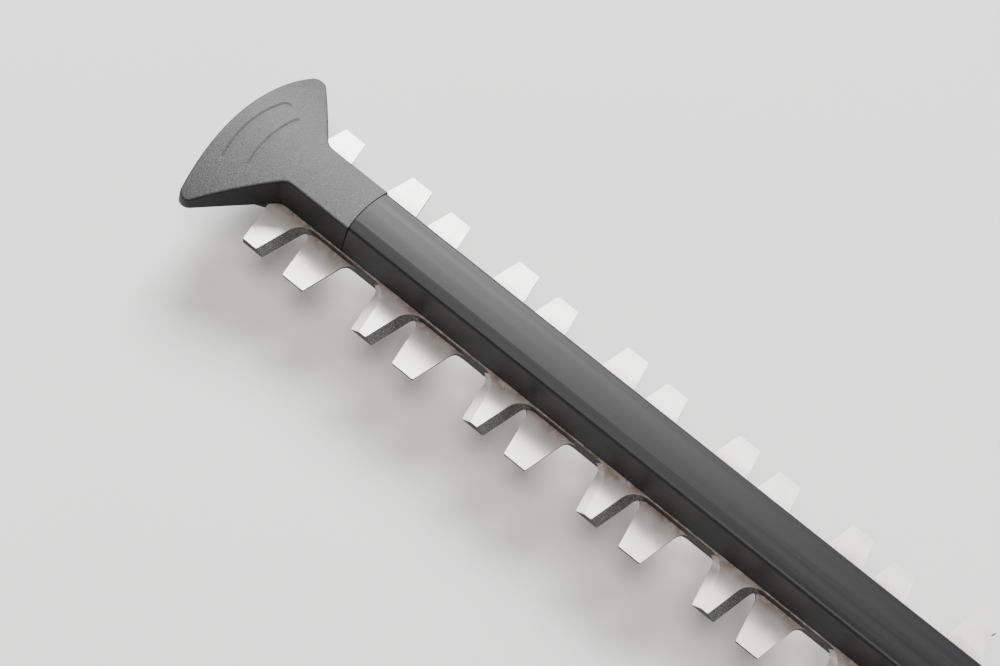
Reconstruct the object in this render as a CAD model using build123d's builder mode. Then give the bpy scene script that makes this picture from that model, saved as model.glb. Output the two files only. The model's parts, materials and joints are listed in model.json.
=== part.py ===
from build123d import *

import math
import os

# Cordless hedge trimmer. +X points along the cutting bar to its tip, +Y to the user's left, +Z up.
# The origin is under the middle of the tool, on the surface that it rests on. Millimetres.

# Cutting bar
tooth_pitch = 50.0           # between teeth of one blade on one side
teeth_per_side = 9
blade_offset = 18.7          # how far the lower blade's teeth trail the upper blade's at rest
tooth_tip_y = 32.5           # half the width over the teeth
tooth_tip_half = 4.6
flank_slope = 0.197          # how much a tooth's half width grows towards its root, mm per mm
spine_half = 12.0            # half width of a blade's spine
blade_t = 2.2
blade_gap = 0.1              # running gap between the two blades
bevel = 3.2                  # width of the ground bevel on each flank
bevel_land = 0.25            # full-width edge left below the bevel
lower_land = 0.9             # the same on the lower blade, above the bevel
tip_bevel = 1.6              # how far the lower blade's tooth ends are ground back underneath
root_radius = 4.5
round_tooth = 6              # the far-side tooth with a longer round head
round_head_y = 40.3

# Drive
crank_throw = 10.0           # eccentricity of each disc, so each blade's stroke is twice this
disc_r = 17.0
yoke_gap = 0.45              # clearance between a disc and the sides of its yoke
gear_teeth = 60
pinion_teeth = 12
gear_module = 1.1
shaft_r = 6.0
bearing_r = 11.0
bearing_bore = 4.0
bearing_w = 7.0

# Bar stack, as heights above the plane where the blades meet
upper_blade_z = blade_gap
bar_seat_z = 2.4             # underside of the support bar
bar_t = 4.0
bar_half = 9.2
cover_foot_z = 2.5
cover_half = 11.4
cover_shoulder_half = 11.0
cover_facet_y = 6.4          # the crown's arch ends here, in a flatter strip along each shoulder
cover_facet_drop = 0.3
cover_crown_z = 17.0
arch_r = 76.0                # arch of the cover and of the tip guard
cover_wall = 1.6
bolt_r = 2.5
bush_r = 4.0
bolt_count = 6

# Tip guard, measured from the first tooth towards the tip
guard_front = 36.0
guard_seam = -22.6
guard_neck = 5.0
seam_bow = 1.0               # how far the seam bows towards the tip, in plan
guard_ear_x = 29.9           # where the fan's front and flank would meet
guard_ear_y = 42.0
guard_ear_r = 3.5

# Gearcase
case_wall = 4.0
case_half = 41.5
case_rear = -54.0
case_front = 41.5
case_floor_z = -5.0
case_roof_z = 12.0
nose_front = 62.0
nose_half = 17.0

# Motor
motor_r = 18.5
motor_len = 56.0
motor_wall = 1.6
motor_foot_z = case_roof_z + case_wall

# Housing
wall = 2.6
nacelle_half = 46.0
tower_half = 30.0
grip_half = 18.0
shoe_half = 38.0
rear_end = -300.0
blade_plane_z = 24.0         # the blades' height above the resting surface

# Front handle
loop_half = 83.0
loop_top = 180.0
loop_x = -8.0
tube_a = 14.0
tube_b = 15.5
tube_wall = 2.4

# Battery
pack_half = 36.0
pack_front = -188.0
pack_floor = -24.0
pack_split = 6.0
pack_top = 38.0
cell_r = 9.1
cell_len = 65.0

# Derived places, measured from the crank axis
first_tooth = 536.0
front_reach = first_tooth + guard_front
drive_x = -(front_reach + rear_end) / 2
pinion_x = -gear_module * (gear_teeth + pinion_teeth) / 2
rest_shift = (tooth_pitch / 2 - blade_offset) / 2
yoke_half_x = disc_r + yoke_gap
yoke_half_y = disc_r + crank_throw + 1.0
cover_start = nose_front
cover_end = first_tooth + guard_seam
bolt_first = 112.0
bolt_last = first_tooth - 10.0
bolt_places = [bolt_first + i * (bolt_last - bolt_first) / (bolt_count - 1) for i in range(bolt_count)]

# The crank axis at the height of the blades is the working origin of every sketch
drive = Plane(origin=(drive_x, 0, blade_plane_z))
side = Plane(origin=(drive_x, 0, blade_plane_z), x_dir=(1, 0, 0), z_dir=(0, -1, 0))
cross = Plane(origin=(drive_x, 0, blade_plane_z), x_dir=(0, 1, 0), z_dir=(1, 0, 0))

os.makedirs("parts", exist_ok=True)


def level(height):
    """Horizontal sketch plane at a height above the blades."""
    return drive.offset(height)


def save(builder, label):
    """Name a finished piece and write it."""
    builder.part.label = label
    export_step(builder.part, f"parts/{label}.step")


def drawn_in(points, inset):
    """Corners of a closed outline, moved inwards by an inset."""
    corners = [Vector(x, y) for x, y in points]
    after = corners[1:] + corners[:1]
    turn = 1 if sum(a.X * b.Y - b.X * a.Y for a, b in zip(corners, after)) > 0 else -1
    normals = []
    for a, b in zip(corners, after):
        run = (b - a).normalized()
        normals.append(Vector(-run.Y, run.X) * turn)
    moved = []
    for corner, n1, n2 in zip(corners, normals[-1:] + normals[:-1], normals):
        step = (n1 + n2) * (inset / (1 + n1.dot(n2)))
        moved.append((corner.X + step.X, corner.Y + step.Y))
    return moved


# ---------------------------------------------------------------- blades

def tooth(centre, way, back, front, shorten, long_head=False):
    """Corners and corner radii of one tooth, in order along +X (way 1) or -X (way -1)."""
    root_half = tooth_tip_half + flank_slope * (tooth_tip_y - spine_half)
    if long_head:
        outline = [
            (-root_half, spine_half, root_radius),
            (-tooth_tip_half, tooth_tip_y, 3.0),
            (-tooth_tip_half - 1.6, round_head_y - 6.0, 3.0),
            (-tooth_tip_half - 0.6, round_head_y, 3.6),
            (tooth_tip_half - 1.6, round_head_y, 3.6),
            (tooth_tip_half - 0.3, round_head_y - 6.5, 3.0),
            (tooth_tip_half, tooth_tip_y, 3.0),
            (root_half, spine_half, root_radius),
        ]
    else:
        outline = [
            (-root_half + back, spine_half, root_radius + back),
            (-tooth_tip_half + back, tooth_tip_y - shorten, 0.5),
            (tooth_tip_half - front, tooth_tip_y - shorten, 0.5),
            (root_half - front, spine_half, root_radius + front),
        ]
    if way < 0:
        outline.reverse()
    return [((centre + x, way * y), r) for x, y, r in outline]


def blade_outline(lead, near, far, yoke_x, plain_first, near_narrow, far_narrow, shorten):
    """Closed outline of a blade: yoke frame, near-side teeth, tip, far-side teeth."""
    frame_x, frame_y = yoke_half_x + 7.0, yoke_half_y + 6.5
    corners = [((yoke_x - frame_x, frame_y), 6.0), ((yoke_x + frame_x, frame_y), 6.0)]
    corners += [((yoke_x + frame_x + 2.0, spine_half), 3.0)]
    for i, centre in enumerate(sorted(near)):
        plain = plain_first and i == len(near) - 1
        corners += tooth(centre, 1, near_narrow, 0.0 if plain else near_narrow, shorten)
    corners += [((lead, spine_half), 2.0), ((lead, -spine_half), 2.0)]
    for centre in sorted(far, reverse=True):
        long_head = plain_first and abs(centre - long_tooth_x) < 1.0
        corners += tooth(centre, -1, far_narrow, far_narrow, shorten, long_head)
    corners += [((yoke_x + frame_x + 2.0, -spine_half), 3.0)]
    corners += [((yoke_x + frame_x, -frame_y), 6.0), ((yoke_x - frame_x, -frame_y), 6.0)]
    points = [point for point, radius in corners]
    radii = [radius for point, radius in corners]
    return points, radii


near_upper = [first_tooth - k * tooth_pitch for k in range(teeth_per_side)]
far_upper = [x - tooth_pitch / 2 for x in near_upper]
long_tooth_x = far_upper[round_tooth - 1]
near_lower = [x - blade_offset for x in near_upper]
far_lower = [near_lower[0] + tooth_pitch / 2] + [x - tooth_pitch / 2 for x in near_lower]


def blade_faces(lead, near, far, yoke_x, plain_first, heights):
    """Horizontal faces of a blade: each height with its narrowing near, far and at the tooth tips."""
    faces = []
    for height, *ground in heights:
        points, radii = blade_outline(lead, near, far, yoke_x, plain_first, *ground)
        with BuildSketch(level(height)) as face:
            with BuildLine():
                FilletPolyline(*points, radius=radii, close=True)
            make_face()
        faces.append(face.sketch)
    return faces


def blade_windows(height, yoke_x):
    """Cutter for the yoke opening round the eccentric and a slot for each bar bolt."""
    slot = 2 * (crank_throw + bush_r) + 1.2
    with BuildPart() as cutter:
        with BuildSketch(level(height)):
            with Locations((yoke_x, 0)):
                RectangleRounded(2 * yoke_half_x, 2 * yoke_half_y, 3.0)
            with Locations(*[(x + yoke_x, 0) for x in bolt_places]):
                SlotOverall(slot, 2 * bush_r + 0.3)
        extrude(amount=blade_t)
    return cutter.part


upper_faces = blade_faces(
    first_tooth + 15.0, near_upper, far_upper, -rest_shift, True,
    [(upper_blade_z, 0, 0, 0), (upper_blade_z + bevel_land, 0, 0, 0), (upper_blade_z + blade_t, bevel, 0, 0)],
)
with BuildPart() as upper_blade:
    extrude(upper_faces[0], amount=bevel_land)
    loft([upper_faces[1], upper_faces[2]], ruled=True)
    add(blade_windows(upper_blade_z, -rest_shift), mode=Mode.SUBTRACT)
save(upper_blade, "upper_blade")

lower_faces = blade_faces(
    far_lower[0] + 15.0, near_lower, far_lower, rest_shift, False,
    [(-blade_t, bevel, bevel, tip_bevel), (-lower_land, 0, 0, 0), (-lower_land, 0, 0, 0)],
)
with BuildPart() as lower_blade:
    loft([lower_faces[0], lower_faces[1]], ruled=True)
    extrude(lower_faces[2], amount=lower_land)
    add(blade_windows(-blade_t, rest_shift), mode=Mode.SUBTRACT)
save(lower_blade, "lower_blade")


# ---------------------------------------------------------------- cutting bar

def arch_section(half_foot, half_shoulder, foot, crown, radius, corner):
    """Cross-section with upright sides under a shallow arch."""
    shoulder = crown - radius + math.sqrt(radius**2 - half_shoulder**2)
    with BuildSketch(cross) as section:
        with BuildLine():
            Polyline((-half_shoulder, shoulder), (-half_foot, foot), (half_foot, foot), (half_shoulder, shoulder))
            ThreePointArc((half_shoulder, shoulder), (0, crown), (-half_shoulder, shoulder))
        make_face()
        if corner:
            fillet(section.vertices().group_by(Axis.Z)[-1], radius=corner)
    return section.sketch


def span(sketch, start, end):
    """Extrude a cross-section along the bar between two distances from the crank axis."""
    with BuildPart() as run:
        add(Pos(start, 0, 0) * sketch)
        extrude(amount=end - start, dir=(1, 0, 0))
    return run.part


def cover_section(inset, foot):
    """Cross-section of the cover, drawn in by an inset: upright sides, flat shoulders, arched crown."""
    half_foot, half_shoulder = cover_half - inset, cover_shoulder_half - inset
    radius, crown = arch_r - inset, cover_crown_z - inset
    facet = crown - radius + math.sqrt(radius**2 - cover_facet_y**2)
    shoulder = crown - radius + math.sqrt(radius**2 - half_shoulder**2) - cover_facet_drop
    outline = [(cover_facet_y, facet), (half_shoulder, shoulder), (half_foot, foot)]
    with BuildSketch(cross) as section:
        with BuildLine():
            Polyline(*outline, *[(-y, z) for y, z in reversed(outline)])
            ThreePointArc((cover_facet_y, facet), (0, crown), (-cover_facet_y, facet))
        make_face()
        shoulders = section.vertices().filter_by(lambda v: abs(v.X) > half_shoulder - 0.1).group_by(Axis.Y)[-1]
        fillet(shoulders, radius=max(1.8 - inset, 0.5))
    return section.sketch


def beyond_seam(shift):
    """Plan of everything beyond the seam between cover and tip guard, which bows towards the tip."""
    seam, far, side_y = first_tooth + guard_seam + shift, first_tooth + 60, 60.0
    with BuildSketch(level(cover_foot_z - 5)) as plan:
        with BuildLine():
            ThreePointArc((seam, cover_half), (seam + seam_bow, 0), (seam, -cover_half))
            Polyline((seam, -cover_half), (seam, -side_y), (far, -side_y), (far, side_y), (seam, side_y),
                     (seam, cover_half))
        make_face()
    return plan.sketch


with BuildPart() as bar_cover:
    add(span(cover_section(0, cover_foot_z), cover_start + 0.2, cover_end + 2))
    add(span(cover_section(cover_wall, cover_foot_z - 1), cover_start, cover_end + 3), mode=Mode.SUBTRACT)
    extrude(beyond_seam(-0.2), amount=30.0, mode=Mode.SUBTRACT)
save(bar_cover, "bar_cover")

with BuildPart() as support_bar:
    with BuildSketch(level(bar_seat_z)):
        with Locations(((case_front + first_tooth) / 2, 0)):
            Rectangle(first_tooth - case_front - 1.0, 2 * bar_half)
        with Locations(*[(x, 0) for x in bolt_places + [nose_front - 18, nose_front - 9]]):
            Circle(bolt_r + 0.05, mode=Mode.SUBTRACT)
    extrude(amount=bar_t)
    chamfer(support_bar.edges().filter_by(Axis.X).group_by(Axis.Z)[-1], length=0.6)
save(support_bar, "support_bar")


bolt_spots = [(x, 0) for x in bolt_places]
bush_foot = -blade_t - 0.1
washer_foot = bush_foot - 1.6
nut_top = bar_seat_z + bar_t + 4.6

with BuildPart(drive) as blade_bushes:
    with Locations(*[(x, 0, bush_foot) for x in bolt_places]):
        Cylinder(bush_r, bar_seat_z - bush_foot, align=(Align.CENTER, Align.CENTER, Align.MIN))
        Cylinder(bolt_r + 0.05, bar_seat_z - bush_foot, align=(Align.CENTER, Align.CENTER, Align.MIN),
                 mode=Mode.SUBTRACT)
save(blade_bushes, "blade_bushes")

with BuildPart(drive) as blade_washers:
    with Locations(*[(x, 0, washer_foot) for x in bolt_places]):
        Cylinder(8.2, bush_foot - washer_foot, align=(Align.CENTER, Align.CENTER, Align.MIN))
        Cylinder(bolt_r + 0.05, bush_foot - washer_foot, align=(Align.CENTER, Align.CENTER, Align.MIN),
                 mode=Mode.SUBTRACT)
    chamfer(blade_washers.edges().filter_by(GeomType.CIRCLE).group_by(SortBy.RADIUS)[-1], length=0.3)
save(blade_washers, "blade_washers")

with BuildPart() as blade_bolts:
    with BuildSketch(level(washer_foot - 3.0)):
        with Locations(*bolt_spots):
            RegularPolygon(4.4, 6)
    extrude(amount=3.0)
    with BuildSketch(level(washer_foot)):
        with Locations(*bolt_spots):
            Circle(bolt_r)
    extrude(amount=nut_top + 1.2 - washer_foot)
save(blade_bolts, "blade_bolts")

with BuildPart() as blade_nuts:
    with BuildSketch(level(bar_seat_z + bar_t)):
        with Locations(*bolt_spots):
            RegularPolygon(4.6, 6)
            Circle(bolt_r + 0.05, mode=Mode.SUBTRACT)
    extrude(amount=4.6)
save(blade_nuts, "blade_nuts")


# Tip guard: a fan whose plan is cut from the same arch as the bar cover
def guard_plan(inset):
    """Plan of the tip guard, drawn in by an inset."""
    corners = [(guard_ear_x, guard_ear_y), (guard_neck, cover_half), (guard_seam, cover_half),
               (guard_seam, -cover_half), (guard_neck, -cover_half), (guard_ear_x, -guard_ear_y)]
    corners = [(first_tooth + x, y) for x, y in drawn_in(corners, inset)]
    with BuildSketch(level(cover_foot_z)) as plan:
        with BuildLine():
            Polyline(*corners)
            ThreePointArc(corners[-1], (first_tooth + guard_front - inset, 0), corners[0])
        make_face()
        ears = plan.vertices().filter_by(lambda v: abs(v.Y) > guard_ear_y - 3 * inset - 1)
        fillet(ears, radius=guard_ear_r if inset == 0 else 1.5)
        necks = plan.vertices().filter_by(lambda v: abs(v.Y) < cover_half + 2 and v.X > first_tooth)
        fillet(necks, radius=5.0)
    return plan.sketch


def guard_groove(width, *arc):
    """Slot in plan along an arc through three points, measured from the first tooth."""
    with BuildSketch(level(cover_foot_z)) as groove:
        with BuildLine():
            ThreePointArc(*[(first_tooth + x, y) for x, y in arc])
            offset(amount=width / 2)
        make_face()
    return groove.sketch


guard_arcs = [
    ((27.6, 19.0), (30.0, 2.7), (27.6, -13.6)),
    ((19.2, 15.0), (21.0, 1.0), (19.6, -11.3)),
    ((27.6, -13.6), (26.9, -14.3), (26.0, -14.6)),
]
guard_seam_x = first_tooth + guard_seam
guard_post_x = first_tooth + 27.5
guard_posts = [(guard_post_x, 20.0), (guard_post_x, -20.0)]
base_floor_z = -6.2


def arch_under(crown):
    """Everything under the guard's arch, lowered to a given crown height."""
    block = arch_section(60.0, 59.0, cover_foot_z - 20, crown, arch_r, 0)
    return span(block, guard_seam_x - 5, first_tooth + 50)


def posts(spots, radius, low, high):
    """Upright cylinders between two heights."""
    with BuildPart() as group:
        with BuildSketch(level(low)):
            with Locations(*spots):
                Circle(radius)
        extrude(amount=high - low)
    return group.part


def block(x0, x1, half, z0, z1):
    """Box centred on the tool's middle plane."""
    with BuildPart(drive) as box:
        with Locations(((x0 + x1) / 2, 0, (z0 + z1) / 2)):
            Box(x1 - x0, 2 * half, z1 - z0)
    return box.part


def side_block(x0, x1, y0, y1, z0, z1):
    """Box anywhere, from its limits."""
    with BuildPart(drive) as box:
        with Locations(((x0 + x1) / 2, (y0 + y1) / 2, (z0 + z1) / 2)):
            Box(x1 - x0, y1 - y0, z1 - z0)
    return box.part


with BuildPart() as guard_hollow:
    extrude(guard_plan(3.0), amount=30.0)
    add(arch_under(cover_crown_z - 3.0), mode=Mode.INTERSECT)
    add(block(first_tooth + 1, first_tooth + 40, 1.3, 0, 20), mode=Mode.SUBTRACT)
    add(posts(guard_posts, 4.5, 0, 20), mode=Mode.SUBTRACT)

with BuildPart() as tip_guard:
    extrude(guard_plan(0.0), amount=30.0)
    add(arch_under(cover_crown_z), mode=Mode.INTERSECT)
    crown_edges = tip_guard.faces().sort_by(Axis.Z)[-1].edges()
    fillet(crown_edges.filter_by(lambda e: e.center().X > drive_x + guard_seam_x + 1), radius=1.1)
    with BuildPart() as grooves:
        for width, depth in ((1.8, 0.12), (0.9, 0.26)):
            for arc in guard_arcs:
                with BuildPart() as groove:
                    extrude(guard_groove(width, *arc), amount=30.0)
                    add(arch_under(cover_crown_z - depth), mode=Mode.SUBTRACT)
                add(groove.part)
    add(grooves.part, mode=Mode.SUBTRACT)
    add(guard_hollow.part, mode=Mode.SUBTRACT)
    extrude(beyond_seam(0), amount=30.0, mode=Mode.INTERSECT)
    add(block(guard_seam_x - 1, first_tooth + 0.3, bar_half + 0.2, 0, 12.8), mode=Mode.SUBTRACT)
    add(posts(guard_posts, 1.9, 0, 10.5), mode=Mode.SUBTRACT)
save(tip_guard, "tip_guard")


base_corners = [(2.5, 7.5), (18.0, 15.5), (24.0, 22.5), (33.2, 26.5)]
base_corners += [(x, -y) for x, y in reversed(base_corners)]
with BuildPart() as tip_guard_base:
    with BuildSketch(level(base_floor_z)):
        with BuildLine():
            FilletPolyline(*[(first_tooth + x, y) for x, y in base_corners], radius=1.5, close=True)
        make_face()
    extrude(amount=-blade_t - 0.5 - base_floor_z)
    add(block(first_tooth + 28.6, first_tooth + 33.2, 24.5, base_floor_z, cover_foot_z - 0.1))
    add(posts(guard_posts, 4.2, base_floor_z, cover_foot_z - 0.1))
    add(posts(guard_posts, 2.05, base_floor_z - 1, 5), mode=Mode.SUBTRACT)
save(tip_guard_base, "tip_guard_base")

with BuildPart() as guard_screws:
    add(posts(guard_posts, 3.6, base_floor_z - 2.2, base_floor_z))
    add(posts(guard_posts, 1.85, base_floor_z, 10.0))
save(guard_screws, "guard_screws")

# ---------------------------------------------------------------- gearcase and crank

nose_screw_x = [nose_front - 18, nose_front - 9]
flange_half = 24.0
flange_top = 26.0
flange_x = nose_front - 4.0
guard_screw_spots = [(-19.0, 10.0), (19.0, 10.0)]
gasket_t = 0.6
plate_t = 3.0
plate_top = case_floor_z - gasket_t
plate_foot = plate_top - plate_t
case_screws = [(-51.8, 39.3), (-51.8, -39.3), (-6.0, 39.5), (-6.0, -39.5), (39.3, 39.3), (39.3, -39.3)]
motor_screw_spots = [(pinion_x, 12.5), (pinion_x, -12.5)]
tunnel_half = spine_half + 0.7
bearing_top_z = case_roof_z + 1.0
bearing_low_z = case_floor_z - bearing_w


def cross_posts(spots, radius, start, end):
    """Cylinders along the bar at (y, z) spots."""
    with BuildPart() as group:
        with BuildSketch(cross.offset(start)):
            with Locations(*spots):
                Circle(radius)
        extrude(amount=end - start)
    return group.part


with BuildPart() as gearcase:
    with BuildSketch(level(case_floor_z)) as case_plan:
        with Locations(((case_rear + case_front) / 2, 0)):
            RectangleRounded(case_front - case_rear, 2 * case_half, 6.0)
    extrude(amount=motor_foot_z - case_floor_z)
    add(block(case_front - 2, nose_front, nose_half, case_floor_z, motor_foot_z))
    add(block(flange_x, nose_front, flange_half, case_floor_z, flange_top))
    add(posts([(0, 0)], 14.5, case_roof_z, bearing_top_z + bearing_w + 1.5))
    with BuildSketch(level(case_floor_z)):
        with Locations(((case_rear + case_front) / 2, 0)):
            RectangleRounded(case_front - case_rear - 2 * case_wall, 2 * (case_half - case_wall), 4.0)
    extrude(amount=case_roof_z - case_floor_z, mode=Mode.SUBTRACT)
    add(posts([(0, 0)], bearing_r + 0.03, case_roof_z - 1, bearing_top_z + bearing_w), mode=Mode.SUBTRACT)
    add(block(case_front - case_wall - 1, nose_front + 1, tunnel_half, case_floor_z - 1, bar_seat_z),
        mode=Mode.SUBTRACT)
    add(block(case_front, nose_front + 1, bar_half + 0.05, 0, bar_seat_z + bar_t), mode=Mode.SUBTRACT)
    add(block(nose_front - 8.1, nose_front - 3.9, 14.6, case_floor_z - 1, bar_seat_z), mode=Mode.SUBTRACT)
    add(posts([(pinion_x, 0)], 7.9, case_roof_z - 1, motor_foot_z + 1), mode=Mode.SUBTRACT)
    add(posts(motor_screw_spots, 1.6, case_roof_z - 1, motor_foot_z + 1), mode=Mode.SUBTRACT)
    add(posts([(x, 0) for x in nose_screw_x], 2.1, bar_seat_z, motor_foot_z + 1), mode=Mode.SUBTRACT)
    add(posts(case_screws, 1.5, case_floor_z - 1, 6), mode=Mode.SUBTRACT)
    add(cross_posts(guard_screw_spots, 1.8, flange_x - 1, nose_front + 1), mode=Mode.SUBTRACT)
save(gearcase, "gearcase")

with BuildPart() as gearcase_gasket:
    extrude(case_plan.sketch.moved(Location((0, 0, -gasket_t))), amount=gasket_t)
    with BuildSketch(level(case_floor_z - gasket_t)):
        with Locations(((case_rear + case_front) / 2, 0)):
            RectangleRounded(case_front - case_rear - 2 * case_wall, 2 * (case_half - case_wall), 4.0)
    extrude(amount=gasket_t, mode=Mode.SUBTRACT)
    add(block(case_front - case_wall - 1, case_front + 1, tunnel_half, -9, 0), mode=Mode.SUBTRACT)
    add(posts(case_screws, 1.6, -9, 0), mode=Mode.SUBTRACT)
save(gearcase_gasket, "gearcase_gasket")

with BuildPart() as gearcase_cover:
    extrude(case_plan.sketch.moved(Location((0, 0, plate_foot - case_floor_z))), amount=plate_t)
    add(block(case_front - 2, nose_front, nose_half, plate_foot, plate_top))
    add(block(case_front - case_wall, nose_front - 8.3, tunnel_half - 0.2, plate_foot, -blade_t - 0.5))
    add(block(nose_front - 3.7, nose_front, tunnel_half - 0.2, plate_foot, -blade_t - 0.5))
    add(posts([(0, 0)], 14.5, bearing_low_z - 1.5, plate_top))
    add(posts([(0, 0)], bearing_r + 0.03, bearing_low_z, 0), mode=Mode.SUBTRACT)
    add(posts(case_screws, 1.6, -12, 0), mode=Mode.SUBTRACT)
save(gearcase_cover, "gearcase_cover")

with BuildPart() as gearcase_screws:
    add(posts(case_screws, 2.8, plate_foot - 2.0, plate_foot))
    add(posts(case_screws, 1.45, plate_foot, 5.5))
save(gearcase_screws, "gearcase_screws")

with BuildPart() as blade_wiper:
    add(block(nose_front - 8, nose_front - 4, 14.5, case_floor_z - gasket_t, bar_seat_z - 0.05))
    add(block(nose_front - 9, nose_front - 3, spine_half + 0.15, -blade_t - 0.1, 5), mode=Mode.SUBTRACT)
save(blade_wiper, "blade_wiper")

with BuildPart() as bar_screws:
    add(posts([(x, 0) for x in nose_screw_x], 3.6, motor_foot_z, motor_foot_z + 2.6))
    add(posts([(x, 0) for x in nose_screw_x], 2.0, bar_seat_z + 0.1, motor_foot_z))
save(bar_screws, "bar_screws")

with BuildPart(drive) as shaft_bearings:
    with Locations((0, 0, bearing_top_z), (0, 0, bearing_low_z)):
        Cylinder(bearing_r, bearing_w, align=(Align.CENTER, Align.CENTER, Align.MIN))
        Cylinder(bearing_bore + 0.03, bearing_w, align=(Align.CENTER, Align.CENTER, Align.MIN), mode=Mode.SUBTRACT)
    for end in (bearing_top_z, bearing_low_z + bearing_w - 0.4):
        with BuildSketch(level(end)):
            Circle(9.0)
            Circle(6.5, mode=Mode.SUBTRACT)
        extrude(amount=0.4, mode=Mode.SUBTRACT)
save(shaft_bearings, "shaft_bearings")

disc_y = math.sqrt(crank_throw**2 - rest_shift**2)
with BuildPart() as crank_shaft:
    add(posts([(0, 0)], shaft_r, case_floor_z + 0.3, case_roof_z + 0.8))
    add(posts([(0, 0)], bearing_bore, bearing_low_z + 0.1, bearing_top_z + bearing_w - 0.1))
    add(posts([(rest_shift, -disc_y)], disc_r, -blade_t - 0.7, 0.0))
    add(posts([(-rest_shift, disc_y)], disc_r, blade_gap, blade_gap + blade_t + 0.7))
save(crank_shaft, "crank_shaft")


def involute(radius, base):
    """Polar angle of an involute of a base circle where it reaches a radius."""
    roll = math.sqrt(max((radius / base) ** 2 - 1, 0.0))
    return roll - math.atan(roll)


def gear_sketch(teeth, height, phase, backlash):
    """Spur gear outline with involute flanks, one tooth centred at the phase angle."""
    pitch_r = gear_module * teeth / 2
    base_r = pitch_r * math.cos(math.radians(20))
    tip_r = pitch_r + 0.95 * gear_module
    root_r = pitch_r - 1.25 * gear_module
    half_at_pitch = math.pi / (2 * teeth) - backlash / (2 * pitch_r)
    start_r = max(base_r, root_r + 0.05)
    radii = [start_r + (tip_r - start_r) * i / 3 for i in range(4)]
    half = [half_at_pitch + involute(pitch_r, base_r) - involute(r, base_r) for r in radii]
    points = []
    for i in range(teeth):
        middle = phase + 2 * math.pi * i / teeth
        rise = [(radii[k], middle - half[k]) for k in range(4)]
        fall = [(radii[k], middle + half[k]) for k in (3, 2, 1, 0)]
        for r, angle in [(root_r, rise[0][1])] + rise + fall + [(root_r, fall[-1][1])]:
            points.append((r * math.cos(angle), r * math.sin(angle)))
    with BuildSketch(level(height)) as outline:
        with BuildLine():
            Polyline(*points, close=True)
        make_face()
    return outline.sketch


gear_foot = 4.0
gear_w = 6.0
with BuildPart() as crank_gear:
    extrude(gear_sketch(gear_teeth, gear_foot, math.pi + math.pi / gear_teeth, 0.15), amount=gear_w)
    with BuildSketch(level(gear_foot)):
        with PolarLocations(21.0, 6):
            Circle(5.5)
    extrude(amount=gear_w, mode=Mode.SUBTRACT)
    add(posts([(0, 0)], 11.0, blade_gap + blade_t + 0.8, case_roof_z - 0.3))
    add(posts([(0, 0)], shaft_r + 0.02, 0, 20), mode=Mode.SUBTRACT)
save(crank_gear, "crank_gear")

# ---------------------------------------------------------------- motor

motor_top = motor_foot_z + motor_len
motor_shaft_r = 1.6
motor = drive.shift_origin((drive_x + pinion_x, 0, blade_plane_z))


def motor_ring(outer, bore, low, high):
    """Ring or disc about the motor's axis."""
    with BuildPart() as ring:
        with BuildSketch(motor.offset(low)):
            Circle(outer)
            if bore:
                Circle(bore, mode=Mode.SUBTRACT)
        extrude(amount=high - low)
    return ring.part


with BuildPart() as drive_pinion:
    with BuildSketch(motor.offset(gear_foot)):
        add(gear_sketch(pinion_teeth, 0, 0.0, 0.15).moved(Location((-drive_x, 0, -blade_plane_z))))
        Circle(motor_shaft_r + 0.01, mode=Mode.SUBTRACT)
    extrude(amount=gear_w + 0.5)
save(drive_pinion, "drive_pinion")

with BuildPart() as motor_can:
    add(motor_ring(motor_r, motor_r - motor_wall, motor_foot_z, motor_top))
    add(motor_ring(motor_r, motor_shaft_r + 1.0, motor_foot_z, motor_foot_z + motor_wall))
    add(motor_ring(7.8, motor_shaft_r + 1.0, case_roof_z + 0.2, motor_foot_z))
    add(posts(motor_screw_spots, 1.5, motor_foot_z - 1, motor_foot_z + 4), mode=Mode.SUBTRACT)
save(motor_can, "motor_can")

with BuildPart() as motor_screws:
    add(posts(motor_screw_spots, 2.7, case_roof_z - 1.8, case_roof_z))
    add(posts(motor_screw_spots, 1.45, case_roof_z, motor_foot_z + 3.5))
save(motor_screws, "motor_screws")

with BuildPart() as motor_magnets:
    add(motor_ring(motor_r - motor_wall - 0.05, 13.6, 26, 60))
    add(block(pinion_x - 5, pinion_x + 5, 20, 20, 65), mode=Mode.SUBTRACT)
save(motor_magnets, "motor_magnets")

with BuildPart() as motor_end_cap:
    add(motor_ring(motor_r, motor_shaft_r + 0.05, motor_top, motor_top + 3))
    add(motor_ring(motor_r - motor_wall - 0.1, 12.0, motor_top - 4, motor_top))
    add(motor_ring(6.0, motor_shaft_r + 0.05, motor_top, motor_top + 5))
    for y in (-5.0, 5.0):
        add(side_block(pinion_x - 23, pinion_x - 17, y - 2, y + 2, motor_top, motor_top + 1.5))
save(motor_end_cap, "motor_end_cap")

with BuildPart() as motor_rotor:
    add(motor_ring(motor_shaft_r, 0, gear_foot - 1, motor_top + 16))
    with BuildSketch(motor.offset(28)):
        Circle(12.8)
        with PolarLocations(9.5, 12):
            Circle(1.9, mode=Mode.SUBTRACT)
    extrude(amount=28)
    add(motor_ring(5.0, 0, 59, 68))
save(motor_rotor, "motor_rotor")

with BuildPart() as motor_brushes:
    for side_y in (-1, 1):
        y0, y1 = sorted((side_y * 5.1, side_y * 11.5))
        add(side_block(pinion_x - 2, pinion_x + 2, y0, y1, 60.5, 66.5))
save(motor_brushes, "motor_brushes")

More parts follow.
